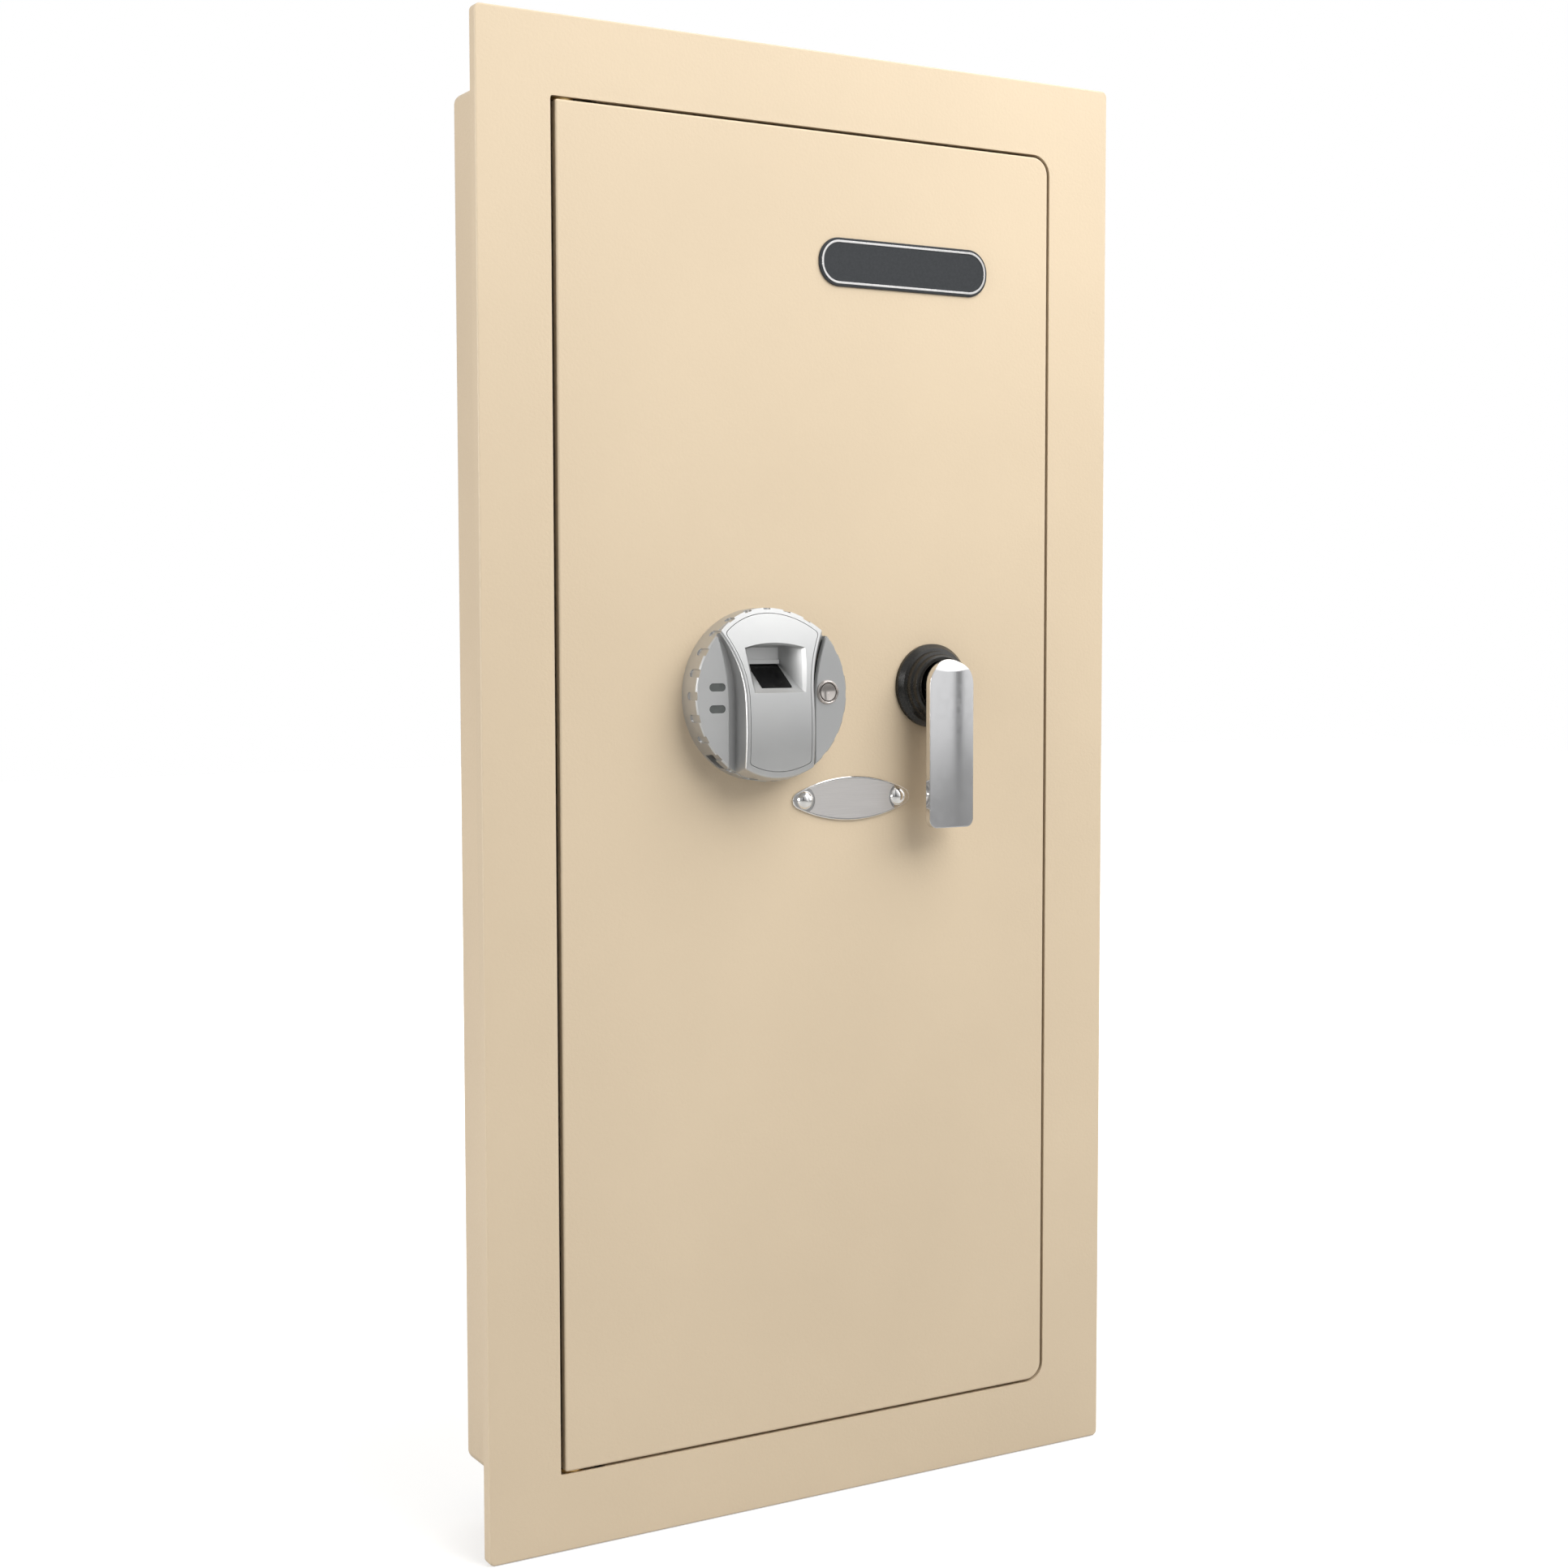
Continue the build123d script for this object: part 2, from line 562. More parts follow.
def handle_lever():
    """Cast lever: round neck, flat crowned blade hanging down, sloped shoulder at the top."""
    half = LEVER_WIDTH / 2
    back = LEVER_FRONT - LEVER_THICKNESS
    arch_v = LEVER_TOP - half
    blade = Pos(0, (arch_v - LEVER_LENGTH) / 2) * Rectangle(LEVER_WIDTH, arch_v + LEVER_LENGTH)
    blade = fillet(blade.vertices().sort_by(Axis.Y)[:2], 5.0)
    blade += Pos(0, arch_v) * Circle(half)
    lever = slab(blade, back, LEVER_FRONT)
    crown = Pos(0, (LEVER_TOP - LEVER_LENGTH) / 2, LEVER_FRONT - LEVER_CROWN_R) * Rot(90, 0, 0)
    lever &= crown * Cylinder(LEVER_CROWN_R, 3 * LEVER_LENGTH)
    # The top end slopes back from the flat face to the rim of the blade.
    face_top = LEVER_TOP - 7.0
    slope = Polyline(
        (face_top, LEVER_FRONT + 1), (face_top, LEVER_FRONT - 0.1), (face_top + 3.4, LEVER_FRONT - 1.4),
        (face_top + 5.8, LEVER_FRONT - 3.6), (LEVER_TOP + 0.2, back + 0.8), (LEVER_TOP + 2, LEVER_FRONT + 1),
        close=True)
    lever -= Plane.YZ * extrude(make_face(slope), amount=half + 1, both=True)
    lever += slab(Circle(NECK_R), 4.0, back)
    lever -= slab(Circle(SPINDLE_R), 3.0, back + 1.0)
    return facing(HANDLE_X, HANDLE_Z) * lever


def handle_spindle():
    """Round spindle through the door, from the lever's neck to the crank."""
    y0 = FRONT - (LEVER_FRONT - LEVER_THICKNESS + 1.0)
    return chamfer(rod_y(SPINDLE_R, HANDLE_X, HANDLE_Z, y0, crank_span()[1] + 3.0).edges(), 0.5)


def spindle_bush():
    """Flanged bush that the spindle turns in."""
    bush = rod_y(SPINDLE_R + 2.0, HANDLE_X, HANDLE_Z, FRONT, DOOR_BACK)
    bush += rod_y(SPINDLE_R + 5.0, HANDLE_X, HANDLE_Z, DOOR_BACK, DOOR_BACK + 3.0)
    return bush - rod_y(SPINDLE_R + RUNNING_CLEARANCE, HANDLE_X, HANDLE_Z, FRONT - 1, DOOR_BACK + 4)


def crank_span():
    """Front and back of the crank arm."""
    return (DOOR_BACK + 4.0, BAR_Y - 5.5)


def crank_arm():
    """Arm on the spindle's inner end."""
    y0, y1 = crank_span()
    pin = (HANDLE_X - CRANK_DROP, HANDLE_Z - CRANK_DROP)
    arm = rod_y(SPINDLE_R + 4.0, HANDLE_X, HANDLE_Z, y0, y1)
    arm += rod_y(CRANK_PIN_R + 2.5, *pin, y0, y1)
    arm -= rod_y(SPINDLE_R, HANDLE_X, HANDLE_Z, y0 - 1, y1 + 1)
    return arm - rod_y(CRANK_PIN_R, *pin, y0 - 1, y1 + 1)


def crank_pin():
    """Pin that drives the bolt bar through its slot."""
    pin = (HANDLE_X - CRANK_DROP, HANDLE_Z - CRANK_DROP)
    return rod_y(CRANK_PIN_R, *pin, crank_span()[0], BAR_Y + BAR_SHEET + 1.5)


def spindle_clip():
    """Retaining ring behind the crank arm."""
    y0 = crank_span()[1]
    ring = rod_y(SPINDLE_R + 2.0, HANDLE_X, HANDLE_Z, y0, y0 + 1.2)
    ring -= rod_y(SPINDLE_R, HANDLE_X, HANDLE_Z, y0 - 1, y0 + 2)
    return ring - block(HANDLE_X - 2, HANDLE_X + 2, y0 - 1, y0 + 2, HANDLE_Z, HANDLE_Z + 20)


# ---- Round fingerprint lock -----------------------------------------------------------------------
def waisted(half_width, flare_r, flare_v):
    """Area between two side lines that run straight up and then flare outwards."""
    def out(v):
        return half_width + flare_r - math.sqrt(flare_r ** 2 - (v - flare_v) ** 2)

    top = DIAL_R + 1.0
    middle = (flare_v + top) / 2
    right = Line((half_width, -top), (half_width, flare_v))
    right_flare = ThreePointArc((half_width, flare_v), (out(middle), middle), (out(top), top))
    cap = Line((out(top), top), (-out(top), top))
    left_flare = ThreePointArc((-out(top), top), (-out(middle), middle), (-half_width, flare_v))
    left = Line((-half_width, flare_v), (-half_width, -top))
    foot = Line((-half_width, -top), (half_width, -top))
    return make_face(Curve() + [right, right_flare, cap, left_flare, left, foot])


def crown(drop=0.0):
    """Everything under the arched front of the lock's middle band, lowered by drop."""
    radius = BAND_CROWN_R - drop
    return Pos(0, BAND_CROWN_V, BAND_CROWN - BAND_CROWN_R) * Rot(0, 90, 0) * Cylinder(radius, 4 * DIAL_R)


def band_outline(inset=0.0):
    """Outline of the raised middle band."""
    return waisted(BAND_HALF_WIDTH - inset, BAND_FLARE_R + inset, BAND_FLARE_V)


def panel_outline(inset=0.0):
    """Outline of the panel let into the band."""
    upper = Pos(0, DIAL_R / 2) * Rectangle(2 * DIAL_R, DIAL_R)
    ends = Circle(DIAL_R - PANEL_TOP_MARGIN - inset) & (upper + Circle(DIAL_R - PANEL_FOOT_MARGIN - inset))
    panel = band_outline(PANEL_BORDER + inset) & ends
    return fillet(panel.vertices().filter_by(lambda corner: abs(corner.X) > BAND_HALF_WIDTH / 2
                                             and abs(corner.Y) > DIAL_R / 2), PANEL_CORNER)


def well_ring(rise, grow):
    """Mouth of the finger well, drawn on a plane that leans as the band's front does."""
    low = WELL_BOTTOM - grow
    high = WELL_TOP + grow
    shoulder = WELL_SHOULDER + grow / 2
    low_half = WELL_BOTTOM_HALF + grow
    high_half = WELL_TOP_HALF + grow
    lean = (crown_height(WELL_TOP) - crown_height(WELL_BOTTOM)) / (WELL_TOP - WELL_BOTTOM)

    def point(u, v):
        return (u, v, crown_height(WELL_BOTTOM) + lean * (v - WELL_BOTTOM) + rise)

    right = Line(point(low_half, low), point(high_half, shoulder))
    arch = ThreePointArc(point(high_half, shoulder), point(0, high), point(-high_half, shoulder))
    left = Line(point(-high_half, shoulder), point(-low_half, low))
    foot = Line(point(-low_half, low), point(low_half, low))
    return make_face(Curve() + [right, arch, left, foot])


def well_space():
    """Inside of the finger well: a bevelled mouth, sides that lean in, and a flat floor."""
    half = WELL_FLOOR_HALF
    rim = well_ring(2 * WELL_BEVEL, 1.5 * WELL_BEVEL)
    throat = well_ring(-WELL_BEVEL, -WELL_BEVEL)
    corners = [(half, WELL_RAMP_END), (half, WELL_SHOULDER), (-half, WELL_SHOULDER), (-half, WELL_RAMP_END)]
    floor = make_face(Polyline(*[(u, v, WELL_FLOOR) for u, v in corners], close=True))
    return loft([floor, throat], ruled=True) + loft([throat, rim], ruled=True)


def crown_height(v):
    """Height of the band's front above the door, at a height v on the lock."""
    return BAND_CROWN - BAND_CROWN_R + math.sqrt(BAND_CROWN_R ** 2 - (v - BAND_CROWN_V) ** 2)


def ramp_place():
    """Places a flat piece on the well's slope, standing out of it, level with the slope's upper end."""
    v0 = WELL_BOTTOM + WELL_BEVEL
    h0 = crown_height(WELL_BOTTOM) - WELL_BEVEL
    run = WELL_RAMP_END - v0
    fall = h0 - WELL_FLOOR
    end = (0, WELL_RAMP_END, WELL_FLOOR)
    return Plane(origin=end, x_dir=(1, 0, 0), z_dir=(0, fall, run)).location


def ridge_edges(body):
    """The long upper edges of the side faces, along the grooves."""
    top = body.edges().filter_by_position(Axis.Z, DIAL_HEIGHT - 0.01, DIAL_HEIGHT + 0.01)
    return top.filter_by(lambda edge: abs(edge.center().X) < GROOVE_HALF_WIDTH + 5)


def band_edges(band):
    """The edges round the band's crowned front, without its upper end."""
    front = band.edges().filter_by(lambda edge: edge.center().Z > DIAL_HEIGHT + 1)
    return front.filter_by(lambda edge: edge.center().Y < DIAL_R / 2)


def lock_housing():
    """Round housing with a notched rim, flat side faces, grooves and a raised middle band."""
    rim = DIAL_R - 0.3
    body = chamfer(slab(Circle(DIAL_R), 0, DIAL_HEIGHT).faces().sort_by(Axis.Z)[-1].edges(), 0.8)
    grooves = waisted(GROOVE_HALF_WIDTH, GROOVE_FLARE_R, GROOVE_FLARE_V)
    body -= slab(grooves, DIAL_HEIGHT - GROOVE_DEPTH, BAND_CROWN)
    body = fillet(ridge_edges(body), RIDGE_ROUND)
    # The band leans in at its lower end, from the rim to its crowned front.
    foot = DIAL_R - BAND_FOOT_LEAN
    lean = Polyline(
        (0, 0), (rim, 0), (rim, DIAL_HEIGHT), (foot, BAND_CROWN), (foot, BAND_CROWN + 2),
        (0, BAND_CROWN + 2), close=True)
    band = slab(band_outline(), 0, BAND_CROWN + 2) & revolve(Plane.XZ * make_face(lean), Axis.Z)
    band = fillet(band_edges(band & crown()), BAND_EDGE_ROUND)
    body -= slab(band_outline(), DIAL_HEIGHT - GROOVE_DEPTH - 6, BAND_CROWN + 5) - crown()
    body += band
    inner = slab(Circle(DIAL_R - DIAL_WALL), -1, DIAL_HEIGHT - GROOVE_DEPTH - DIAL_FACE)
    side_room = slab(Circle(DIAL_R - DIAL_WALL) - grooves, 0, DIAL_HEIGHT - DIAL_FACE)
    shaft = slab(panel_outline(1.6), -1, BAND_CROWN + 5)
    pocket = slab(panel_outline(), 0, BAND_CROWN + 5) - crown(PANEL_SHEET)
    body -= (inner & crown(2 * PANEL_SHEET)) + side_room + shaft + pocket
    for i in range(NOTCH_COUNT):
        bar = Pos(DIAL_R, 0, 0) * Box(2 * NOTCH_DEPTH, NOTCH_WIDTH, 2 * BAND_CROWN)
        low = Pos(DIAL_R, 0, 0) * Box(4 * NOTCH_DEPTH, 2 * NOTCH_WIDTH, 2 * NOTCH_START + NOTCH_WIDTH)
        end = Pos(DIAL_R, 0, NOTCH_START + NOTCH_WIDTH / 2) * Rot(0, 90, 0)
        notch = (bar - low) + end * Cylinder(NOTCH_WIDTH / 2, 2 * NOTCH_DEPTH)
        body -= Rot(0, 0, 360 / NOTCH_COUNT * i) * notch
    for v in LENS_V:
        body -= slab(Pos(LENS_U, v) * SlotOverall(LENS_LENGTH, LENS_WIDTH), 0, DIAL_HEIGHT + 1)
    body -= slab(Pos(BUTTON_U, BUTTON_V) * Circle(BEZEL_R - 1.0), 0, DIAL_HEIGHT + 1)
    jack = Pos(DIAL_R, 0, 3.0 + JACK_HEIGHT / 2) * Box(4 * DIAL_WALL, JACK_WIDTH, JACK_HEIGHT)
    body -= Rot(0, 0, JACK_ANGLE) * jack
    return facing(DIAL_X, DIAL_Z) * body


def lock_panel():
    """Arched panel let into the middle band, with the mouth of the finger well."""
    panel = slab(panel_outline(PANEL_SEAM), 0, BAND_CROWN + 2) & (crown() - crown(PANEL_SHEET))
    return facing(DIAL_X, DIAL_Z) * (panel - well_space())


def sensor_well():
    """Moulded finger well behind the panel, with the slope for the sensor and a lip above it."""
    half = WELL_TOP_HALF + WELL_WALL
    outer = Pos(0, (WELL_BOTTOM + WELL_TOP) / 2) * Rectangle(2 * half, WELL_TOP - WELL_BOTTOM + 2 * WELL_WALL)
    outer &= panel_outline(1.9)
    well = slab(outer, WELL_FLOOR - WELL_WALL, BAND_CROWN + 2) & crown(PANEL_SHEET)
    well -= well_space()
    lip = Box(2 * WELL_FLOOR_HALF, WELL_LIP, 2 * WELL_LIP_RISE)
    well += Pos(0, WELL_RAMP_END + WELL_LIP / 2, WELL_FLOOR) * lip
    bed = Pos(0, -SENSOR_LENGTH / 2, 0) * Box(SENSOR_WIDTH, SENSOR_LENGTH, 2 * SENSOR_GLASS)
    well -= ramp_place() * bed
    return facing(DIAL_X, DIAL_Z) * well


def sensor_glass():
    """Black glass of the fingerprint sensor, let into the slope."""
    glass = Box(SENSOR_WIDTH, SENSOR_LENGTH, SENSOR_GLASS * 1.1)
    glass = fillet(glass.edges().filter_by(Axis.Z), 1.5)
    return facing(DIAL_X, DIAL_Z) * ramp_place() * Pos(0, -SENSOR_LENGTH / 2, -0.45 * SENSOR_GLASS) * glass


def status_lenses():
    """Smoked windows over the two indicator lamps."""
    pill = SlotOverall(LENS_LENGTH, LENS_WIDTH)
    lens = slab(pill, DIAL_HEIGHT - 2.0, DIAL_HEIGHT - 0.4)
    return Compound(children=[facing(DIAL_X + LENS_U, DIAL_Z + v) * lens for v in LENS_V])


def button_bezel():
    """Bright ring around the start button."""
    outer = BEZEL_R
    inner = BUTTON_R + BUTTON_CLEARANCE
    top = DIAL_HEIGHT + 1.8
    points = [
        (inner, DIAL_HEIGHT - 2), (BEZEL_R - 1.0, DIAL_HEIGHT - 2), (BEZEL_R - 1.0, DIAL_HEIGHT),
        (outer, DIAL_HEIGHT), (outer, DIAL_HEIGHT + 0.6), (outer - 0.6, top - 0.3),
        (outer - 1.1, top), (inner + 0.3, top - 0.4), (inner, top - 1.0)]
    profile = Plane.XZ * make_face(Polyline(*points, close=True))
    return facing(DIAL_X + BUTTON_U, DIAL_Z + BUTTON_V) * revolve(profile, Axis.Z)


def power_button():
    """Dished start button on a stem that reaches the circuit board's switch."""
    top = DIAL_HEIGHT + 1.1
    disc = slab(Circle(BUTTON_R), DIAL_HEIGHT - 1.5, top)
    dish_r = 30.0
    disc -= Pos(0, 0, top + dish_r - 0.4) * Sphere(dish_r)
    stem = slab(Circle(2.0), 6.5, DIAL_HEIGHT - 1.5)
    return facing(DIAL_X + BUTTON_U, DIAL_Z + BUTTON_V) * (disc + stem)


def jack_socket():
    """Socket for an outside battery, in the lower left of the rim."""
    reach = DIAL_R - DIAL_WALL - 0.2
    size = (7.0, JACK_WIDTH - 2.0, JACK_HEIGHT - 1.0)
    body = Pos(reach - size[0] / 2, 0, 3.0 + JACK_HEIGHT / 2) * Box(*size)
    mouth = Pos(reach - 2.0, 0, 3.0 + JACK_HEIGHT / 2) * Rot(0, 90, 0) * Cylinder(2.4, 6.0)
    pin = Pos(reach - 3.0, 0, 3.0 + JACK_HEIGHT / 2) * Rot(0, 90, 0) * Cylinder(0.8, 5.0)
    return facing(DIAL_X, DIAL_Z) * Rot(0, 0, JACK_ANGLE) * (body - mouth + pin)


def lock_circuit_board():
    """Board inside the round lock, with the switch under the start button."""
    board = slab(Circle(DIAL_R - DIAL_WALL - 4.0), 1.0, 2.6)
    board += slab(Pos(BUTTON_U, BUTTON_V) * Rectangle(6, 6), 2.6, 5.2)
    for x, z in lock_screw_places():
        board -= slab(Pos(x - DIAL_X, z - DIAL_Z) * Circle(4.0), 0, 4)
    return facing(DIAL_X, DIAL_Z) * board


def lock_pillars():
    """Moulded pillars under the lock's face, tapped for its screws."""
    pillars = []
    for x, z in lock_screw_places():
        pillar = slab(Circle(3.4) - Circle(1.5), 0, DIAL_HEIGHT - GROOVE_DEPTH - DIAL_FACE - 0.2)
        pillars.append(facing(x, z) * pillar)
    return Compound(children=pillars)


def lock_screws():
    """Screws from behind the door into the round lock."""
    screws = []
    for x, z in lock_screw_places():
        head = rod_y(3.6, x, z, DOOR_BACK, DOOR_BACK + 2.4)
        screws.append(head + rod_y(1.5, x, z, FRONT - 8, DOOR_BACK))
    return Compound(children=screws)


# ---- Key lock and nameplate -------------------------------------------------------------------------
def key_cylinder():
    """Housing of the emergency key lock."""
    back = DOOR_BACK + CYLINDER_REACH
    body = rod_y(CYLINDER_R, NAMEPLATE_X, NAMEPLATE_Z, FRONT, back)
    return body - rod_y(PLUG_R + RUNNING_CLEARANCE, NAMEPLATE_X, NAMEPLATE_Z, FRONT - 1, back + 1)


def key_nut():
    """Ring nut that clamps the key cylinder to the door."""
    nut = facing(NAMEPLATE_X, NAMEPLATE_Z, DOOR_BACK + 4) * slab(RegularPolygon(13.0, 6), 0, 4)
    return nut - rod_y(CYLINDER_R, NAMEPLATE_X, NAMEPLATE_Z, DOOR_BACK - 1, DOOR_BACK + 5)


def key_plug():
    """Turning plug with a keyway and a tail for the cam."""
    back = DOOR_BACK + CYLINDER_REACH
    plug = rod_y(PLUG_R, NAMEPLATE_X, NAMEPLATE_Z, FRONT + 0.4, back + 0.5)
    plug += rod_y(3.0, NAMEPLATE_X, NAMEPLATE_Z, back + 0.5, back + 5.0)
    keyway = block(-0.7, 0.7, FRONT - 1, FRONT + 12, -4, 4)
    return plug - Pos(NAMEPLATE_X, 0, NAMEPLATE_Z) * keyway


def key_cam():
    """Cam plate on the plug's tail."""
    y0 = DOOR_BACK + CYLINDER_REACH + 0.5
    cam = rod_y(5.5, NAMEPLATE_X, NAMEPLATE_Z, y0, y0 + 2.5)
    cam += block(NAMEPLATE_X - 3.5, NAMEPLATE_X + 3.5, y0, y0 + 2.5, NAMEPLATE_Z, NAMEPLATE_Z + 17)
    return cam - rod_y(3.0, NAMEPLATE_X, NAMEPLATE_Z, y0 - 1, y0 + 4)


def lens_shape(half_length, half_height):
    """Two shallow arcs with blunt ends, which take nearly an end radius off the full length."""
    tip = half_length + 0.9 * NAMEPLATE_END_R
    upper = ThreePointArc((-tip, 0), (0, half_height), (tip, 0))
    lower = ThreePointArc((tip, 0), (0, -half_height), (-tip, 0))
    return fillet(make_face(Curve() + [upper, lower]).vertices(), NAMEPLATE_END_R)


def nameplate():
    """Polished lens-shaped plate over the key lock."""
    outline = lens_shape(NAMEPLATE_LENGTH / 2, NAMEPLATE_HEIGHT / 2)
    plate = slab(outline, 0, NAMEPLATE_SHEET)
    plate = chamfer(plate.faces().sort_by(Axis.Z)[-1].edges(), 0.5)
    for side in (-1, 1):
        plate -= slab(Pos(side * NAMEPLATE_SCREW_SPACING / 2, 0) * Circle(1.6), -1, 4)
    return facing(NAMEPLATE_X, NAMEPLATE_Z) * plate


def nameplate_label():
    """Plain satin foil on the nameplate, cut round its two screws."""
    outline = lens_shape(NAMEPLATE_LENGTH / 2 - 1.0, NAMEPLATE_HEIGHT / 2 - 1.3)
    for side in (-1, 1):
        outline -= Pos(side * (NAMEPLATE_SCREW_SPACING / 2 + 2), 0) * Circle(DOME_R + 3.0)
    return facing(NAMEPLATE_X, NAMEPLATE_Z) * slab(outline, NAMEPLATE_SHEET, NAMEPLATE_SHEET + 0.3)


def nameplate_screws():
    """Polished dome-head screws at the ends of the nameplate."""
    screws = []
    sphere_r = (DOME_R ** 2 + DOME_HEIGHT ** 2) / (2 * DOME_HEIGHT)
    for side in (-1, 1):
        head = slab(Circle(DOME_R), 0, DOME_HEIGHT) & Pos(0, 0, DOME_HEIGHT - sphere_r) * Sphere(sphere_r)
        screw = Pos(0, 0, NAMEPLATE_SHEET) * head + slab(Circle(1.6), -DOOR_THICKNESS - 3, NAMEPLATE_SHEET)
        screws.append(facing(NAMEPLATE_X + side * NAMEPLATE_SCREW_SPACING / 2, NAMEPLATE_Z) * screw)
    return Compound(children=screws)


def badge_plate():
    """Plain dark badge near the top of the door."""
    outline = RectangleRounded(BADGE_WIDTH, BADGE_HEIGHT, BADGE_HEIGHT / 2 - 0.5)
    return facing(BADGE_X, BADGE_Z) * chamfer(
        slab(outline, 0, BADGE_SHEET).faces().sort_by(Axis.Z)[-1].edges(), 0.4)


def badge_trim():
    """Bright border of the badge."""
    width = BADGE_WIDTH - 3.0
    height = BADGE_HEIGHT - 3.0
    ring = RectangleRounded(width, height, height / 2 - 0.5)
    ring -= RectangleRounded(width - 2.4, height - 2.4, height / 2 - 1.7)
    return facing(BADGE_X, BADGE_Z) * slab(ring, BADGE_SHEET, BADGE_SHEET + 0.4)


# ---- Electronics behind the door ---------------------------------------------------------------------
def battery_size():
    """Outside width and height of the battery box."""
    return (CELL_COUNT * 2 * CELL_R + 6.0, CELL_LENGTH + 8.0)


def program_button_z():
    """The programming button stands above the battery box."""
    return BATTERY_Z + battery_size()[1] / 2 + 16.0


def battery_box():
    """Moulded tray for four cells, open to the back."""
    width, height = battery_size()
    back = COVER_BACK - COVER_SHEET
    depth = 2 * CELL_R + 2.5
    box = block(
        BATTERY_X - width / 2, BATTERY_X + width / 2, back - depth, back,
        BATTERY_Z - height / 2, BATTERY_Z + height / 2)
    return box - block(
        BATTERY_X - width / 2 + BOX_WALL, BATTERY_X + width / 2 - BOX_WALL, back - depth + BOX_WALL, back + 1,
        BATTERY_Z - height / 2 + BOX_WALL, BATTERY_Z + height / 2 - BOX_WALL)


def battery_cells():
    """Four cells side by side, each with its button end."""
    cells = []
    y = COVER_BACK - COVER_SHEET - 0.5 - CELL_R
    for i in range(CELL_COUNT):
        x = BATTERY_X + (i - (CELL_COUNT - 1) / 2) * (2 * CELL_R + 0.4)
        turn = 1 if i % 2 else -1
        cell = rod_z(CELL_R, x, y, BATTERY_Z - CELL_LENGTH / 2, BATTERY_Z + CELL_LENGTH / 2)
        end = BATTERY_Z + turn * CELL_LENGTH / 2
        cells.append(chamfer(cell.edges(), 0.5) + rod_z(2.6, x, y, end - turn, end + turn * 1.2))
    return Compound(children=cells)


def battery_lid():
    """Lid that slides sideways over the battery box."""
    width, height = battery_size()
    y0 = COVER_BACK + 0.3
    lid = block(
        BATTERY_X - width / 2, BATTERY_X + width / 2, y0, y0 + 1.8,
        BATTERY_Z - height / 2 - 2, BATTERY_Z + height / 2 + 2)
    for i in range(4):
        x = BATTERY_X + width / 2 - 8 - 3 * i
        lid += block(x - 0.6, x + 0.6, y0 + 1.8, y0 + 2.5, BATTERY_Z - 14, BATTERY_Z + 14)
    return lid


def lid_rails():
    """Two rails on the cover that hold the battery lid."""
    width, height = battery_size()
    rails = []
    for side in (-1, 1):
        edge = BATTERY_Z + side * (height / 2 + 2.3)
        left = BATTERY_X - width / 2
        right = BATTERY_X + width / 2
        rail = block(left, right, COVER_BACK, COVER_BACK + 3.4, edge, edge + side * 2)
        rail += block(left, right, COVER_BACK + 2.4, COVER_BACK + 3.4, edge - side * 2.3, edge + side * 2)
        rails.append(rail)
    return Compound(children=rails)


def control_board():
    """Board behind the door that drives the solenoid."""
    x1 = BATTERY_X + battery_size()[0] / 2
    z0 = program_button_z() - 10
    board = block(BATTERY_X - 32, x1, COVER_BACK - 16, COVER_BACK - 14.4, z0, z0 + 44)
    board += block(BATTERY_X - 3.5, BATTERY_X + 3.5, COVER_BACK - 14.4, COVER_BACK - 8, z0 + 6.5, z0 + 13.5)
    board += block(BATTERY_X - 24, BATTERY_X - 10, COVER_BACK - 14.4, COVER_BACK - 12.6, z0 + 22, z0 + 36)
    return board + block(BATTERY_X + 6, BATTERY_X + 22, COVER_BACK - 14.4, COVER_BACK - 9, z0 + 34, z0 + 41)


def board_posts():
    """Spacers that carry the control board behind the door."""
    z0 = program_button_z() - 10
    posts = []
    for x in (BATTERY_X - 28, BATTERY_X + battery_size()[0] / 2 - 4):
        for z in (z0 + 4, z0 + 40):
            posts.append(rod_y(2.5, x, z, DOOR_BACK, COVER_BACK - 16))
    return Compound(children=posts)


def program_button():
    """Red programming button that reaches through the cover."""
    z = program_button_z()
    return rod_y(PROGRAM_BUTTON_R, BATTERY_X, z, COVER_BACK - 6.5, COVER_BACK + 1.6)


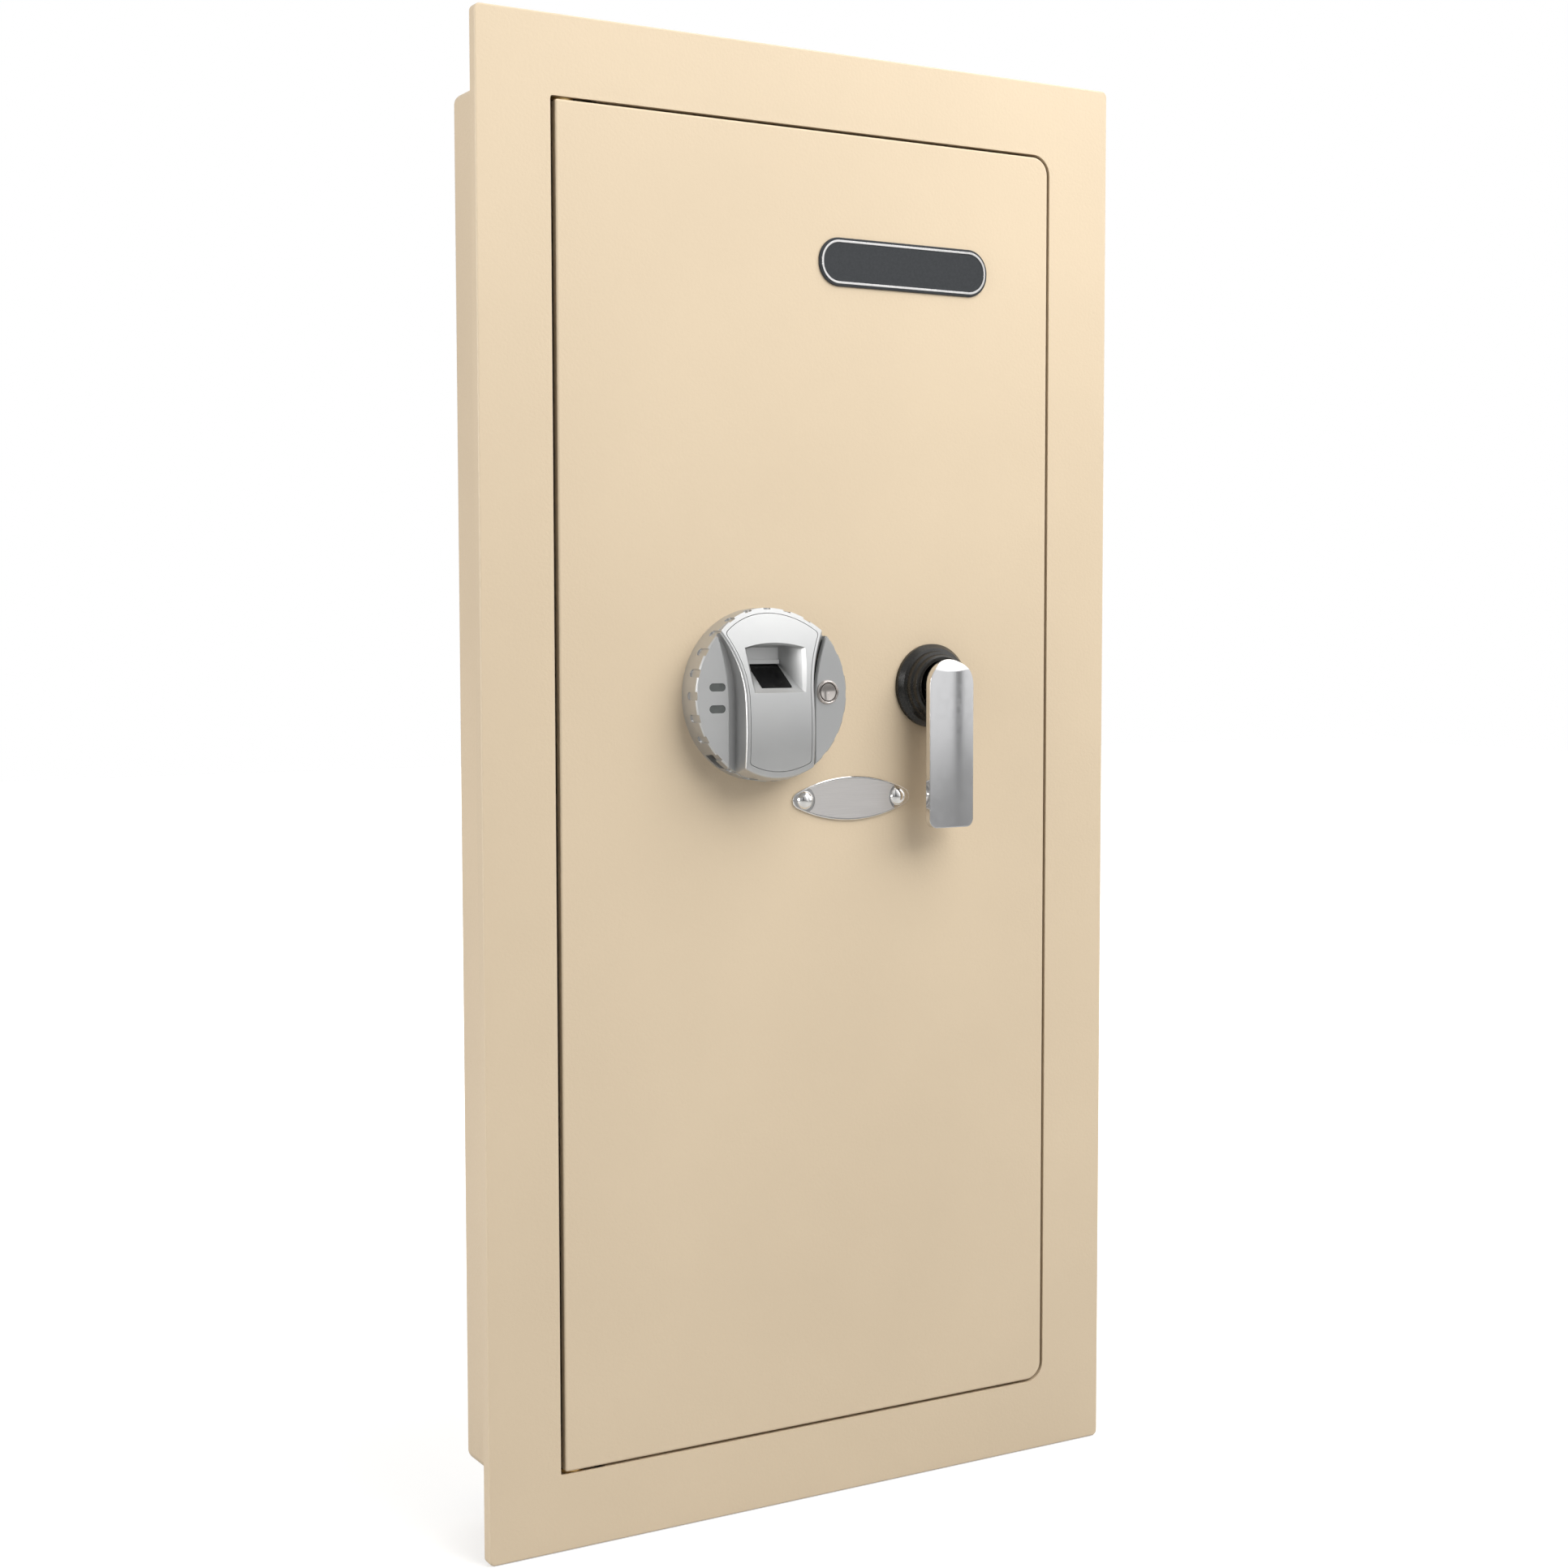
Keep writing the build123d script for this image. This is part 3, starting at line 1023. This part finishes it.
# ---- All pieces -----------------------------------------------------------------------------------
PIECES = {
    "body_shell": body_shell(),
    "front_frame": front_frame(),
    "shelf_supports": shelf_supports(),
    "floor_mat": floor_mat(),
    "door_plate": door_plate(),
    "mechanism_cover": mechanism_cover(),
    "cover_standoffs": cover_standoffs(),
    "cover_screws": cover_screws(),
    "bolt_guide": bolt_guide(),
    "bolt_bar": bolt_bar(),
    "bolt_nuts": bolt_nuts(),
    "locking_bolts": locking_bolts(),
    "solenoid_frame": solenoid_frame(),
    "solenoid_plunger": solenoid_plunger(),
    "handle_rosette": rosette(),
    "handle_lever": handle_lever(),
    "handle_spindle": handle_spindle(),
    "spindle_bush": spindle_bush(),
    "crank_arm": crank_arm(),
    "crank_pin": crank_pin(),
    "spindle_clip": spindle_clip(),
    "lock_housing": lock_housing(),
    "lock_panel": lock_panel(),
    "sensor_well": sensor_well(),
    "sensor_glass": sensor_glass(),
    "status_lenses": status_lenses(),
    "button_bezel": button_bezel(),
    "power_button": power_button(),
    "jack_socket": jack_socket(),
    "lock_circuit_board": lock_circuit_board(),
    "lock_pillars": lock_pillars(),
    "lock_screws": lock_screws(),
    "key_cylinder": key_cylinder(),
    "key_nut": key_nut(),
    "key_plug": key_plug(),
    "key_cam": key_cam(),
    "nameplate": nameplate(),
    "nameplate_label": nameplate_label(),
    "nameplate_screws": nameplate_screws(),
    "badge_plate": badge_plate(),
    "badge_trim": badge_trim(),
    "battery_box": battery_box(),
    "battery_cells": battery_cells(),
    "battery_lid": battery_lid(),
    "lid_rails": lid_rails(),
    "control_board": control_board(),
    "board_posts": board_posts(),
    "program_button": program_button(),
}
for name, side in (("upper", 1), ("lower", -1)):
    PIECES[f"hinge_bracket_{name}"] = hinge_bracket(side)
    PIECES[f"hinge_bush_{name}"] = hinge_bush(side)
    PIECES[f"hinge_lug_{name}"] = hinge_lug(side)
    PIECES[f"hinge_pin_{name}"] = hinge_pin(side)
for number, z in enumerate(SHELF_ZS, start=1):
    PIECES[f"shelf_{number}"] = shelf(z)

os.makedirs("parts", exist_ok=True)
for name, piece in PIECES.items():
    export_step(piece, f"parts/{name}.step")
    print(name, round(piece.volume, 1))
